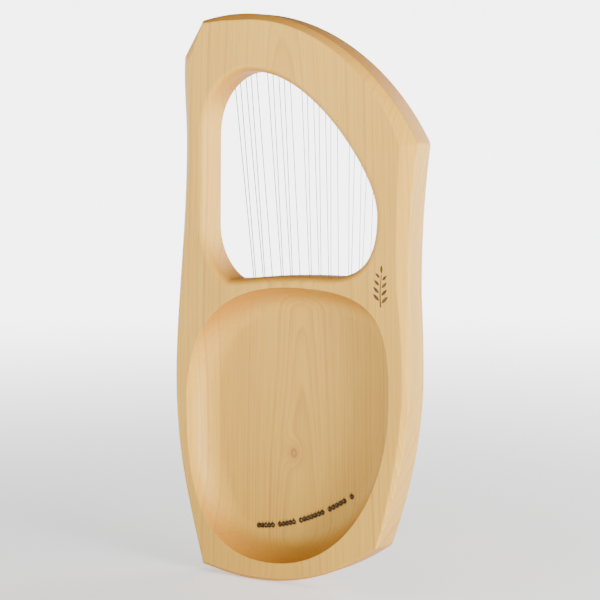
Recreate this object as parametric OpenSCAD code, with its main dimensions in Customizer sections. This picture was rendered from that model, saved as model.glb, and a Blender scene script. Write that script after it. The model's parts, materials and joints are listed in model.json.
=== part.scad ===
// A hand-held chromatic lap harp (lyre type) with 23 strings.
//
// Board frame, used by every module: x to the right as seen from the front,
// y up the instrument, z from the back face towards the player's side (front).
// stand_up() turns it upright: the front faces -Y and the height runs along +Z.
// The origin is the middle of the whole box, at its lowest point.

/* [Body] */
// Thickness of the plank that the body is carved from
body_t = 36; // [32:1:42]
// Thickness of the soundboard, which is the floor of the carved bowl
soundboard_t = 4.5; // [3.5:0.5:6]
// Width of the hollow curve between the bowl's rim and its floor
cove_w = 30; // [20:1:36]
// Radius that rounds the string opening's edge on the back
opening_round = 8.5; // [4:0.5:11]
// Chamfer along the front edges
front_chamfer = 2.5; // [1:0.5:4]

/* [Strings] */
// Spacing of neighbouring semitones at the bridge
semitone_pitch = 5; // [4.8:0.1:5.6]
// Diameter of the lowest string
bass_d = 0.8; // [0.6:0.05:1]
// Diameter of the highest string
treble_d = 0.4; // [0.3:0.05:0.6]
// Height of the natural strings' saddles above the front
natural_h = 32; // [26:1:36]
// Height of the sharp strings' saddles above the front
sharp_h = 20; // [16:1:24]
// Height of the nut rod's top above the front
nut_h = 12; // [10:0.5:14]

/* [Bridge and nut] */
// Length of the bridge along the strings
bridge_l = 18; // [16:1:22]
// Width of each bridge tooth, which carries one natural string
tooth_w = 4.8; // [4:0.2:5]
// Diameter of the brass pin under each string
saddle_d = 2.4; // [1.6:0.2:3]
// Width of the nut rail
nut_rail_w = 11; // [8:1:14]
// Diameter of the brass rod on the nut rail
nut_rod_d = 3; // [2:0.5:4]

/* [Tuning pins] */
// Diameter of a tuning pin's shank
pin_d = 5; // [4.5:0.5:6]
// Radial clearance of a pin in its bore
pin_clearance = 0.05; // [0.02:0.01:0.08]
// Depth of a pin in the body
pin_depth = 22; // [18:1:26]
// Height of a pin above the front
pin_h = 29; // [26:1:32]
// Width across the flats of a pin's square head
pin_square = 3.5; // [3:0.1:3.5]
// Length of a pin's square head
pin_square_l = 11; // [8:1:14]
// Distance from the nut to the naturals' pins, along the string
natural_pin_reach = 17; // [15:1:20]
// Distance from the nut to the sharps' pins, along the string
sharp_pin_reach = 30; // [28:1:33]

/* [Ball ends] */
// Diameter of a string's brass ball end
ball_d = 3.5; // [3:0.1:3.6]
// Length of a ball end
ball_l = 2.6; // [2:0.1:2.8]
// Diameter of the recess that holds a ball end
recess_d = 4.6; // [4.5:0.1:4.8]

/* [Hidden] */
// Steps along each curve of an outline
curve_steps = 10;
// Steps around each hollow or rounded edge
cove_steps = 7;
round_steps = 3;
// Steps round a saddle, and sides of the strings and the bent rod
saddle_steps = 4;
string_sides = 8;
rod_sides = 12;
// Facets of exact round shapes
$fn = 32;
// How far a cutting shape runs past the surface that it cuts
past = 1;
// Gap between a string and what it bears on
touch = 0.12;
// Gap between the other pieces that rest on each other
seat = 0.02;
// Gap between a straight string and its coil on the pin
coil_gap = 0.35;
string_hole_d = 1.6;
recess_depth = 2.5;
ball_hole_d = 1.3;
coil_turns = 4;
coil_start_h = 7;
pin_point_l = 2;
bridge_end_margin = 0.8;

// Notes from the lowest string to the highest. A natural note is two steps
// above the last one, and a sharp lies one step above its natural.
NOTES = [
  "g3", "gs3", "a3", "as3", "b3",
  "c4", "cs4", "d4", "ds4", "e4",
  "f4", "fs4", "g4", "gs4", "a4", "as4", "b4",
  "c5", "cs5", "d5", "ds5", "e5",
  "f5"
];
STEPS = [0, 1, 2, 3, 4, 6, 7, 8, 9, 10, 12, 13, 14, 15, 16, 17, 18, 20, 21, 22, 23, 24, 26];
LAST = len(NOTES) - 1;
STRING_NODES = [for (note = NOTES) str("string_", note)];
PIN_NODES = [for (note = NOTES) str("tuning_pin_", note)];

// ---- Curves -------------------------------------------------------------

function unit(v) = v / norm(v);
function turned_left(v) = [-v.y, v.x];
function turned_right(v) = [v.y, -v.x];
function between(a, b, t) = a + (b - a) * t;
function third_points(a, b) = [a, between(a, b, 1 / 3), between(a, b, 2 / 3), b];

function bezier(c, t) =
  pow(1 - t, 3) * c[0]
  + 3 * pow(1 - t, 2) * t * c[1]
  + 3 * (1 - t) * pow(t, 2) * c[2]
  + pow(t, 3) * c[3];

// Value at t of a bend that starts at c[0], pulls towards c[1] and ends at c[2]
function bend(c, t) = pow(1 - t, 2) * c[0] + 2 * t * (1 - t) * c[1] + pow(t, 2) * c[2];

function closed_path(curves) =
  [for (c = curves) for (k = [0:curve_steps - 1]) bezier(c, k / curve_steps)];
function open_path(curves) = concat(closed_path(curves), [curves[len(curves) - 1][3]]);
function closed_bend(bends) =
  [for (c = bends) for (k = [0:curve_steps - 1]) bend(c, k / curve_steps)];

// Inward direction at a path's corner, scaled so that both sides move by one
function inward(path, i) =
  let (
    n = len(path),
    before = unit(turned_left(path[i] - path[(i + n - 1) % n])),
    after = unit(turned_left(path[(i + 1) % n] - path[i]))
  )
  (before + after) / (1 + before * after);
function inset_by(path, widths) =
  [for (i = [0:len(path) - 1]) path[i] + widths[i] * inward(path, i)];
function inset(path, width) =
  [for (i = [0:len(path) - 1]) path[i] + width * inward(path, i)];
function at_height(path, z) = [for (p = path) [p.x, p.y, z]];

// Side direction along an open path
function side_at(path, i) =
  let (last = len(path) - 1)
  unit(turned_left(path[min(i + 1, last)] - path[max(i - 1, 0)]));
function strip(path, half_w) =
  concat(
    [for (i = [0:len(path) - 1]) path[i] + half_w * side_at(path, i)],
    [for (i = [len(path) - 1:-1:0]) path[i] - half_w * side_at(path, i)]
  );

// ---- Outlines -----------------------------------------------------------

shoulder = [123.5, 643.5];
crown = [71, 650];
tip = [-166.5, 503];
waist = [-156, 346];
hip = [-159, 245];
heel = [-119, 56.5];
foot = [58, 0];
toe = [126, 8.5];
belly = [162.5, 231];
neck = [148, 501];
temple = [150.5, 602.5];

BODY_CURVES = [
  [shoulder, [105.5, 647.5], [91, 650], crown],
  [crown, [-32, 650], [-123.5, 582.5], tip],
  [tip, [-157.5, 441], [-156, 390], waist],
  [waist, [-156, 328], [-159, 307], hip],
  [hip, [-159, 184], [-141, 111], heel],
  [heel, [-44, 3], [23, 0], foot],
  [foot, [81, 0], [104, 5], toe],
  [toe, [152, 103], [162.5, 147.5], belly],
  [belly, [162.5, 316], [148, 399], neck],
  [neck, [148, 535], [153.5, 573], temple],
  third_points(temple, shoulder)
];
// Width and depth of the bevel along the back edge, curve by curve
BEVEL_WIDTHS = [
  [4, 7, 8], [8, 0, 19], [19, 13, 12], [12, 9, 7], [7, 7, 1], [1, 3, 4.5],
  [4.5, 4.5, 4.5], [4.5, 2, 1.5], [1.5, 3, 8], [8, 10, 11], [11, 8, 4]
];
BEVEL_DEPTHS = [
  [6, 9, 10], [10, 5, 6], [6, 6, 6], [6, 6, 5], [5, 4, 1], [1, 3, 4.5],
  [4.5, 4.5, 4.5], [4.5, 2, 1.5], [1.5, 3, 5], [5, 6, 6], [6, 6, 6]
];
OPENING_CURVES = [
  [[56.5, 584], [10, 584], [-25, 555], [-45, 537.5]],
  [[-45, 537.5], [-63.5, 521], [-115, 465], [-115, 424]],
  [[-115, 424], [-115, 391], [-106, 355], [-52.5, 355]],
  [[-52.5, 355], [32, 355], [60, 347], [84, 347]],
  [[84, 347], [90, 347], [120, 368], [120, 409]],
  third_points([120, 409], [119, 511]),
  [[119, 511], [119, 561], [81, 584], [56.5, 584]]
];
BOWL_CURVES = [
  [[-9, 341], [-117, 341], [-134, 312], [-134, 222]],
  [[-134, 222], [-134, 117], [-72, 23], [31, 23]],
  [[31, 23], [128, 23], [146, 105], [146, 196]],
  [[146, 196], [146, 263], [123, 341], [-9, 341]]
];
NUT_CURVES = [
  [[127, 556], [117, 584], [92, 599], [60, 599]],
  [[60, 599], [0, 599], [-55, 565], [-113, 476]]
];

body_path = closed_path(BODY_CURVES);
bevel_widths = closed_bend(BEVEL_WIDTHS);
bevel_depths = closed_bend(BEVEL_DEPTHS);
opening_path = closed_path(OPENING_CURVES);
bowl_path = closed_path(BOWL_CURVES);
nut_path = open_path(NUT_CURVES);

bowl_depth = body_t - soundboard_t;
overall_depth = body_t + natural_h + bass_d + touch;
side_shift = -(tip.x + belly.x) / 2;
body_middle = [0, 320];
opening_middle = [0, 460];
bowl_middle = [6, 182];

// ---- Strings ------------------------------------------------------------

// Number of natural notes above the lowest string, counting a sharp as a half
function naturals_up(i) = STEPS[i] / 2;
function is_sharp(i) = STEPS[i] % 2 == 1;
function string_r(i) = between(bass_d, treble_d, i / LAST) / 2;

function row_y(n) = 57 + 0.86 * n + 0.218 * n * n;
function row_x(n) = 64 - 2 * semitone_pitch * n;
function saddle_xy(i) = [row_x(naturals_up(i)), row_y(naturals_up(i))];
function rod_top(i) = body_t + (is_sharp(i) ? sharp_h : natural_h);
function saddle_point(i) =
  [saddle_xy(i).x, saddle_xy(i).y, rod_top(i) + touch + string_r(i)];

// Where the strings cross the nut, from left to right along the nut's path
function nut_x(n) = 111 - 15.3 * n - 0.085 * n * n;
function path_y(path, x) =
  let (k = [for (i = [0:len(path) - 2]) if (path[i + 1].x <= x && path[i].x > x) i][0])
  between(path[k].y, path[k + 1].y, (path[k].x - x) / (path[k].x - path[k + 1].x));
function nut_point(i) =
  let (x = nut_x(naturals_up(i)))
  [x, path_y(nut_path, x), body_t + nut_h + touch + string_r(i)];

function flat(p) = [p.x, p.y];
function string_way(i) = unit(flat(nut_point(i)) - flat(saddle_point(i)));
function reach(i) = is_sharp(i) ? sharp_pin_reach : natural_pin_reach;
function coil_point(i) = flat(nut_point(i)) + reach(i) * string_way(i);
function coil_middle_r(i) = pin_d / 2 + seat + string_r(i);
function pin_xy(i) = coil_point(i) + coil_middle_r(i) * turned_right(string_way(i));
function string_end(i) =
  let (p = coil_point(i) - (coil_gap + coil_middle_r(i)) * string_way(i))
  [p.x, p.y, body_t + coil_start_h + string_r(i)];

// ---- Shared shapes ------------------------------------------------------

module stand_up() {
  translate([side_shift, overall_depth / 2, 0])
    rotate([90, 0, 0])
      children();
}

// A closed solid through rings of points that lie one above the other
module through_rings(rings, middle) {
  n = len(rings[0]);
  last = len(rings) - 1;
  low_middle = n * len(rings);
  points = concat(
    [for (ring = rings) each ring],
    [[middle.x, middle.y, rings[0][0].z], [middle.x, middle.y, rings[last][0].z]]
  );
  walls = [
    for (k = [0:last - 1]) for (i = [0:n - 1])
      let (a = k * n + i, b = k * n + (i + 1) % n)
      each [[a, a + n, b + n], [a, b + n, b]]
  ];
  low_cap = [for (i = [0:n - 1]) [low_middle, i, (i + 1) % n]];
  high_cap = [for (i = [0:n - 1]) [low_middle + 1, last * n + (i + 1) % n, last * n + i]];
  polyhedron(points, concat(walls, low_cap, high_cap));
}

// A closed tube through round sections of the same number of points
module tube(points, sections, sides) {
  walls = [
    for (i = [0:sections - 2]) for (s = [0:sides - 1])
      let (a = i * sides + s, b = i * sides + (s + 1) % sides)
      each [[a, a + sides, b + sides], [a, b + sides, b]]
  ];
  start_cap = [for (s = [0:sides - 1]) s];
  end_cap = [for (s = [sides - 1:-1:0]) (sections - 1) * sides + s];
  polyhedron(points, concat(walls, [start_cap, end_cap]));
}

// A round rod that follows a level path
module bent_rod(path, z, r) {
  points = [
    for (i = [0:len(path) - 1]) for (s = [0:rod_sides - 1])
      let (
        angle = 360 * (s + 0.5) / rod_sides,
        p = path[i] + r * cos(angle) * side_at(path, i)
      )
      [p.x, p.y, z + r * sin(angle)]
  ];
  tube(points, len(path), rod_sides);
}

// ---- Body ---------------------------------------------------------------

module plank() {
  back = inset_by(body_path, bevel_widths);
  through_rings(
    [
      at_height(back, 0),
      [for (i = [0:len(body_path) - 1]) [body_path[i].x, body_path[i].y, bevel_depths[i]]],
      at_height(body_path, body_t - front_chamfer),
      at_height(inset(body_path, front_chamfer), body_t)
    ],
    body_middle
  );
}

module opening_cut() {
  edge = [
    for (k = [0:round_steps])
      let (angle = 90 * k / round_steps)
      at_height(
        inset(opening_path, -opening_round * (1 - sin(angle))),
        opening_round * (1 - cos(angle))
      )
  ];
  through_rings(
    concat(
      [at_height(inset(opening_path, -opening_round), -past)],
      edge,
      [
        at_height(opening_path, body_t - front_chamfer),
        at_height(inset(opening_path, -front_chamfer), body_t),
        at_height(inset(opening_path, -front_chamfer), body_t + past)
      ]
    ),
    opening_middle
  );
}

module bowl_cut() {
  hollow = [
    for (k = [0:cove_steps])
      let (angle = 90 * k / cove_steps)
      at_height(inset(bowl_path, cove_w * (1 - cos(angle))), bowl_depth * sin(angle))
  ];
  through_rings(concat([at_height(bowl_path, -past)], hollow), bowl_middle);
}

module string_holes() {
  for (i = [0:LAST])
    translate(saddle_xy(i)) {
      translate([0, 0, bowl_depth - past])
        cylinder(h = recess_depth + past, d = recess_d);
      translate([0, 0, bowl_depth - past])
        cylinder(h = soundboard_t + 2 * past, d = string_hole_d);
    }
}

module pin_bores() {
  for (i = [0:LAST])
    translate([pin_xy(i).x, pin_xy(i).y, body_t - pin_depth - pin_point_l / 2])
      cylinder(h = pin_depth + pin_point_l / 2 + past, r = pin_d / 2 + pin_clearance);
}

module body() {
  color("burlywood")
    stand_up()
      difference() {
        plank();
        opening_cut();
        bowl_cut();
        string_holes();
        pin_bores();
      }
}

// ---- Bridge -------------------------------------------------------------

function saddle_rod_xy(i) =
  saddle_xy(i) + [0, bass_d / 2 + touch + saddle_d / 2];
function saddle_rod_z(i) = rod_top(i) - saddle_d / 2;

module saddle_rod(i, l, r) {
  translate([saddle_rod_xy(i).x - l / 2, saddle_rod_xy(i).y, saddle_rod_z(i)])
    rotate([0, 90, 0])
      cylinder(h = l, r = r);
}

module bridge_base() {
  top_n = naturals_up(LAST) + bridge_end_margin;
  row = [for (n = [-bridge_end_margin:0.4:top_n]) [row_x(n), row_y(n)]];
  outline = concat(
    [for (p = row) p + [0, bridge_l / 2]],
    [for (k = [len(row) - 1:-1:0]) row[k] - [0, bridge_l / 2]]
  );
  translate([0, 0, body_t])
    linear_extrude(height = sharp_h - saddle_d / 2)
      polygon(outline);
}

module bridge_teeth() {
  tooth_l = bridge_l - 6;
  for (i = [0:LAST])
    if (!is_sharp(i))
      translate([saddle_xy(i).x - tooth_w / 2, saddle_xy(i).y - tooth_l / 2, body_t])
        cube([tooth_w, tooth_l, natural_h - saddle_d / 2]);
}

module bridge() {
  color("sienna")
    stand_up()
      difference() {
        union() {
          bridge_base();
          bridge_teeth();
        }
        for (i = [0:LAST]) {
          translate([saddle_xy(i).x, saddle_xy(i).y, body_t - past])
            cylinder(h = natural_h + 2 * past, d = string_hole_d);
          saddle_rod(i, tooth_w + 2 * touch, saddle_d / 2 + seat);
        }
      }
}

module bridge_saddles() {
  color("goldenrod")
    stand_up()
      for (i = [0:LAST])
        saddle_rod(i, tooth_w - 2 * touch, saddle_d / 2);
}

// ---- Nut ----------------------------------------------------------------

module nut_rail() {
  color("sienna")
    stand_up()
      translate([0, 0, body_t])
        linear_extrude(height = nut_h - nut_rod_d - seat)
          polygon(strip(nut_path, nut_rail_w / 2));
}

module nut_rod() {
  color("goldenrod")
    stand_up()
      bent_rod(nut_path, body_t + nut_h - nut_rod_d / 2, nut_rod_d / 2);
}

// ---- Strings and pins ---------------------------------------------------

ball_z = bowl_depth + recess_depth - ball_d / 2 - seat;

module ball_ends() {
  color("goldenrod")
    stand_up()
      for (i = [0:LAST])
        translate([saddle_xy(i).x, saddle_xy(i).y, ball_z])
          rotate([0, 90, 0])
            difference() {
              cylinder(h = ball_l, d = ball_d, center = true);
              cylinder(h = ball_l + past, d = ball_hole_d, center = true);
            }
}

// A string's route in its own upright plane, as [distance along it, height]:
// up through the board, round the saddle, over the nut and down to the coil
function string_route(i) =
  let (
    p = saddle_point(i),
    bend_r = saddle_d / 2 + touch + string_r(i),
    nut = nut_point(i),
    end = string_end(i)
  )
  concat(
    [[0, ball_z + ball_d / 2 + seat]],
    [
      for (k = [0:saddle_steps])
        let (angle = 90 * k / saddle_steps)
        [bend_r * (1 - cos(angle)), p.z - bend_r * (1 - sin(angle))]
    ],
    [
      [norm(flat(nut) - flat(p)), nut.z],
      [norm(flat(end) - flat(p)), end.z]
    ]
  );

// Direction across an open route at one of its points, in the route's plane
function across(route, k) =
  let (
    last = len(route) - 1,
    before = unit(turned_left(route[max(k, 1)] - route[max(k, 1) - 1])),
    after = unit(turned_left(route[min(k, last - 1) + 1] - route[min(k, last - 1)]))
  )
  (before + after) / (1 + before * after);

module string(i) {
  route = string_route(i);
  way = string_way(i);
  side = turned_left(way);
  foot_xy = saddle_xy(i);
  points = [
    for (k = [0:len(route) - 1]) for (s = [0:string_sides - 1])
      let (
        angle = 360 * (s + 0.5) / string_sides,
        p = route[k] + string_r(i) * sin(angle) * across(route, k),
        q = foot_xy + p.x * way + string_r(i) * cos(angle) * side
      )
      [q.x, q.y, p.y]
  ];
  color("silver")
    stand_up()
      tube(points, len(route), string_sides);
}

module tuning_pin(i) {
  r = string_r(i);
  square_z = body_t + pin_h - pin_square_l;
  color("lightslategray")
    stand_up()
      translate(pin_xy(i)) {
        translate([0, 0, body_t - pin_depth])
          cylinder(h = pin_depth + pin_h - pin_square_l, d = pin_d);
        translate([-pin_square / 2, -pin_square / 2, square_z - past])
          cube([pin_square, pin_square, pin_square_l + past]);
        translate([0, 0, body_t + coil_start_h])
          difference() {
            cylinder(h = 2 * r * coil_turns, r = pin_d / 2 + seat + 2 * r);
            translate([0, 0, -past])
              cylinder(h = 2 * r * coil_turns + 2 * past, r = pin_d / 2 + seat);
          }
      }
}

body();
bridge();
bridge_saddles();
nut_rail();
nut_rod();
ball_ends();
for (i = [0:LAST]) {
  string(i);
  tuning_pin(i);
}
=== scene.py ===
"""A hand-held chromatic lap harp with 23 strings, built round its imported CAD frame.

Lengths in this script are in millimetres on the body's own board frame until world() turns
them into metres: x to the right as seen from the front, y up the instrument, and z from the
carved back face (0) to the flat front (36).
"""

import json
import math

import bmesh
import bpy
import numpy as np
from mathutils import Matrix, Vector
from mathutils.geometry import delaunay_2d_cdt

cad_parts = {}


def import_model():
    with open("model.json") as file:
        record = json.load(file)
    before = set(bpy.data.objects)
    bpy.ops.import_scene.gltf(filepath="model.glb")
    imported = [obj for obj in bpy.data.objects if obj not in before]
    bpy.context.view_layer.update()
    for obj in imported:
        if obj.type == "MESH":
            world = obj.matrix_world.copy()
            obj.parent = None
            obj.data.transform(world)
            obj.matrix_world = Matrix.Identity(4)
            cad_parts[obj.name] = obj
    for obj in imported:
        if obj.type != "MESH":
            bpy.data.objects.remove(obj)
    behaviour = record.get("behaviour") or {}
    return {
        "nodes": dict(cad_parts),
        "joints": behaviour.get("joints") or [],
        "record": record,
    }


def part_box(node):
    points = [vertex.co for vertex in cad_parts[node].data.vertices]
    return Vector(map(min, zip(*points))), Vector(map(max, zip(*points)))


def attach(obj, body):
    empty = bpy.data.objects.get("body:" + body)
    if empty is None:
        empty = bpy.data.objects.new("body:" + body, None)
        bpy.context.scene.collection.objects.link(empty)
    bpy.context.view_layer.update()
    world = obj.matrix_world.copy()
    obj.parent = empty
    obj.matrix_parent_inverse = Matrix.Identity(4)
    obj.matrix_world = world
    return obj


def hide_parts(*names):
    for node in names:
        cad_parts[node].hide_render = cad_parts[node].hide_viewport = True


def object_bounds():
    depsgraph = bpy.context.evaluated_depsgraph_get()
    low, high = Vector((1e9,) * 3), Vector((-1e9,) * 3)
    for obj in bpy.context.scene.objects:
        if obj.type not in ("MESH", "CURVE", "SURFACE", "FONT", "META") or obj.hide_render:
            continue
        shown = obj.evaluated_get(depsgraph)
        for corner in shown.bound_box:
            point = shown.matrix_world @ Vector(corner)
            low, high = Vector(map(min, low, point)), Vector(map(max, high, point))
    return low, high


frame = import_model()
CAD_LO, CAD_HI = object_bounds()
BODY_LO, BODY_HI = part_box("body")

MM = 0.001
LEFT_TIP = 166.5  # how far the body's tip stands left of the board frame's origin
ORIGIN = np.array([BODY_LO.x + LEFT_TIP * MM, BODY_HI.y, BODY_LO.z])
FRONT = (BODY_HI.y - BODY_LO.y) / MM
FIXED_NODES = frame["record"]["behaviour"]["bodies"]["frame"]
NOTES = [n[len("string_"):] for n in FIXED_NODES if n.startswith("string_")]
JOINTS = {j["child"]: j for j in frame["joints"]}


def world(points):
    """Board millimetres to frame metres."""
    p = np.asarray(points, float)
    return np.stack(
        [ORIGIN[0] + p[:, 0] * MM, ORIGIN[1] - p[:, 2] * MM, ORIGIN[2] + p[:, 1] * MM], 1
    )


def board(point):
    """Frame metres to board millimetres."""
    return np.array(
        [(point[0] - ORIGIN[0]) / MM, (point[2] - ORIGIN[2]) / MM, (ORIGIN[1] - point[1]) / MM]
    )


# ---- Curves -----------------------------------------------------------------


def unit(v):
    v = np.asarray(v, float)
    return v / np.maximum(np.linalg.norm(v, axis=-1, keepdims=True), 1e-12)


def left_of(v):
    return np.stack([-v[..., 1], v[..., 0]], -1)


def bezier(c, t):
    c, t = np.asarray(c, float), np.asarray(t, float)[:, None]
    return (1 - t) ** 3 * c[0] + 3 * (1 - t) ** 2 * t * c[1] + 3 * (1 - t) * t ** 2 * c[2] + t ** 3 * c[3]


def bend(c, t):
    t = np.asarray(t, float)
    return (1 - t) ** 2 * c[0] + 2 * t * (1 - t) * c[1] + t ** 2 * c[2]


def straight(a, b):
    a, b = np.asarray(a, float), np.asarray(b, float)
    return [a, a + (b - a) / 3, a + (b - a) * 2 / 3, b]


def steps_along(curve, spacing):
    chord = np.linalg.norm(np.diff(bezier(curve, np.linspace(0, 1, 20)), axis=0), axis=1).sum()
    return max(6, int(round(chord / spacing)))


def closed_path(curves, spacing):
    """Points along joined curves, with the parameters that made them."""
    points, where = [], []
    for k, curve in enumerate(curves):
        n = steps_along(curve, spacing)
        t = np.arange(n) / n
        points.append(bezier(curve, t))
        where.append(np.stack([np.full(n, k), t], 1))
    return np.concatenate(points), np.concatenate(where)


def open_path(curves, spacing):
    points = [bezier(c, np.arange(steps_along(c, spacing)) / steps_along(c, spacing)) for c in curves]
    return np.concatenate([*points, np.asarray([curves[-1][3]], float)])


def inward(path):
    """Inward direction at each corner of a closed path, scaled so that both sides move by one."""
    before = unit(left_of(path - np.roll(path, 1, 0)))
    after = unit(left_of(np.roll(path, -1, 0) - path))
    return (before + after) / (1 + (before * after).sum(1, keepdims=True))


def inset(path, width):
    return path + np.asarray(width, float).reshape(-1, 1) * inward(path)


def side_ring(path, widths):
    """The closed path moved in by widths, with each side cut off where it meets its neighbours.

    Keeps one point for each point of the path, so that rings of one path can be joined.
    """
    n = len(path)
    widths = np.broadcast_to(np.asarray(widths, float), n)
    corners = turning(path, 11)
    mitred = inset(path, widths)
    made = mitred.copy()
    for a, b in zip(corners, np.roll(corners, -1)):
        side = np.arange(a, b + (n if b <= a else 0) + 1) % n
        outer = path[side]
        raw = outer + widths[side][:, None] * unit(left_of(np.gradient(outer, axis=0)))
        half = len(side) // 2
        first = int(np.argmin(np.linalg.norm(raw[:half] - mitred[a], axis=1)))
        last = half + int(np.argmin(np.linalg.norm(raw[half:] - mitred[b], axis=1)))
        kept = np.concatenate([mitred[a][None], raw[first + 1:last], mitred[b][None]])
        far = np.concatenate([[0], np.cumsum(np.linalg.norm(np.diff(kept, axis=0), axis=1))])
        want = np.concatenate([[0], np.cumsum(np.linalg.norm(np.diff(outer, axis=0), axis=1))])
        want = want / want[-1] * far[-1]
        made[side] = np.stack([np.interp(want, far, kept[:, 0]), np.interp(want, far, kept[:, 1])], 1)
    return made


def turning(path, degrees):
    """Where a closed path turns more sharply than an angle."""
    before = unit(path - np.roll(path, 1, 0))
    after = unit(np.roll(path, -1, 0) - path)
    turn = np.degrees(np.arccos(np.clip((before * after).sum(1), -1, 1)))
    return np.nonzero(turn > degrees)[0]


def at_height(path, z):
    return np.column_stack([path, np.broadcast_to(np.asarray(z, float), len(path))])


def arc(centre, r, steps, start=0.0):
    a = start + np.arange(steps) * 2 * math.pi / steps
    return np.stack([centre[0] + r * np.cos(a), centre[1] + r * np.sin(a)], 1)


# ---- Outlines ---------------------------------------------------------------

SHOULDER, CROWN, TIP, WAIST = (123.5, 643.5), (71, 650), (-LEFT_TIP, 503), (-156, 346)
HIP, HEEL, FOOT, TOE = (-159, 245), (-119, 56.5), (58, 0), (126, 8.5)
BELLY, NECK, TEMPLE = (162.5, 231), (148, 501), (150.5, 602.5)

BODY_CURVES = [
    [SHOULDER, (105.5, 647.5), (91, 650), CROWN],
    [CROWN, (-32, 650), (-123.5, 582.5), TIP],
    [TIP, (-157.5, 441), (-156, 390), WAIST],
    [WAIST, (-156, 328), (-159, 307), HIP],
    [HIP, (-159, 184), (-141, 111), HEEL],
    [HEEL, (-44, 3), (23, 0), FOOT],
    [FOOT, (81, 0), (104, 5), TOE],
    [TOE, (152, 103), (162.5, 147.5), BELLY],
    [BELLY, (162.5, 316), (148, 399), NECK],
    [NECK, (148, 535), (153.5, 573), TEMPLE],
    straight(TEMPLE, SHOULDER),
]
BEVEL_WIDTHS = [
    (4, 7, 8), (8, 0, 19), (19, 13, 12), (12, 9, 7), (7, 7, 1), (1, 3, 4.5),
    (4.5, 4.5, 4.5), (4.5, 2, 1.5), (1.5, 3, 8), (8, 10, 11), (11, 8, 4),
]
BEVEL_DEPTHS = [
    (6, 9, 10), (10, 5, 6), (6, 6, 6), (6, 6, 5), (5, 4, 1), (1, 3, 4.5),
    (4.5, 4.5, 4.5), (4.5, 2, 1.5), (1.5, 3, 5), (5, 6, 6), (6, 6, 6),
]
OPENING_CURVES = [
    [(56.5, 584), (10, 584), (-25, 555), (-45, 537.5)],
    [(-45, 537.5), (-63.5, 521), (-115, 465), (-115, 424)],
    [(-115, 424), (-115, 391), (-106, 355), (-52.5, 355)],
    [(-52.5, 355), (32, 355), (60, 347), (84, 347)],
    [(84, 347), (90, 347), (120, 368), (120, 409)],
    straight((120, 409), (119, 511)),
    [(119, 511), (119, 561), (81, 584), (56.5, 584)],
]
BOWL_CURVES = [
    [(-9, 341), (-117, 341), (-134, 312), (-134, 222)],
    [(-134, 222), (-134, 117), (-72, 23), (31, 23)],
    [(31, 23), (128, 23), (146, 105), (146, 196)],
    [(146, 196), (146, 263), (123, 341), (-9, 341)],
]
NUT_CURVES = [
    [(127, 556), (117, 584), (92, 599), (60, 599)],
    [(60, 599), (0, 599), (-55, 565), (-113, 476)],
]
OPENING_ROUND = 8.5
FRONT_CHAMFER = 2.5
BOARD_T = 4.5
COVE_W = 30
FLOOR_FROM = 22
BOWL_DEPTH = FRONT - BOARD_T

# ---- Strings ----------------------------------------------------------------

STEPS = [0, 1, 2, 3, 4, 6, 7, 8, 9, 10, 12, 13, 14, 15, 16, 17, 18, 20, 21, 22, 23, 24, 26]
LAST = len(STEPS) - 1
BASS_R, TREBLE_R = 0.4, 0.2
TOUCH, SEAT = 0.12, 0.02
NATURAL_H, SHARP_H, NUT_H = 32, 20, 12
SADDLE_R, NUT_ROD_R, NUT_RAIL_W = 1.2, 1.5, 11
PIN_R, PIN_H, PIN_DEEP, SQUARE_L = 2.5, 29, 22, 11
PIN_PLAY = 0.05
COIL_H, COIL_TURNS = 7, 4
BALL_R, RECESS_R, RECESS_DEPTH, HOLE_R = 1.75, 2.3, 2.5, 0.8
BALL_Z = BOWL_DEPTH + RECESS_DEPTH - BALL_R - SEAT

NUT_PATH = open_path(NUT_CURVES, 2.0)


def string_facts(i):
    """Where string i runs, in board millimetres."""
    n = STEPS[i] / 2
    r = BASS_R + (TREBLE_R - BASS_R) * i / LAST
    sharp = STEPS[i] % 2 == 1
    foot = np.array([64 - 10 * n, 57 + 0.86 * n + 0.218 * n * n])
    nut_x = 111 - 15.3 * n - 0.085 * n * n
    nut = np.array([nut_x, np.interp(-nut_x, -NUT_PATH[:, 0], NUT_PATH[:, 1])])
    way = unit(nut - foot)
    coil_r = PIN_R + SEAT + r
    pin = board(JOINTS["pin_" + NOTES[i]]["pos_m"])[:2]
    return {
        "r": r, "foot": foot, "nut": nut, "way": way, "pin": pin,
        "coil_r": coil_r, "coil": pin + coil_r * left_of(way), "coil_z": FRONT + COIL_H + r,
        "top": FRONT + (SHARP_H if sharp else NATURAL_H) + TOUCH + r, "nut_z": FRONT + NUT_H + TOUCH + r,
    }


STRINGS = [string_facts(i) for i in range(len(STEPS))]
FEET = np.array([s["foot"] for s in STRINGS])
WIRE_MORE = 0.08  # added to a long run's radius, so that it shows from afar
LEVEL_TURN = 0.28  # part of a turn for which a coil stays level, each way from where the wire meets it

# ---- Mesh building ----------------------------------------------------------


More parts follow.
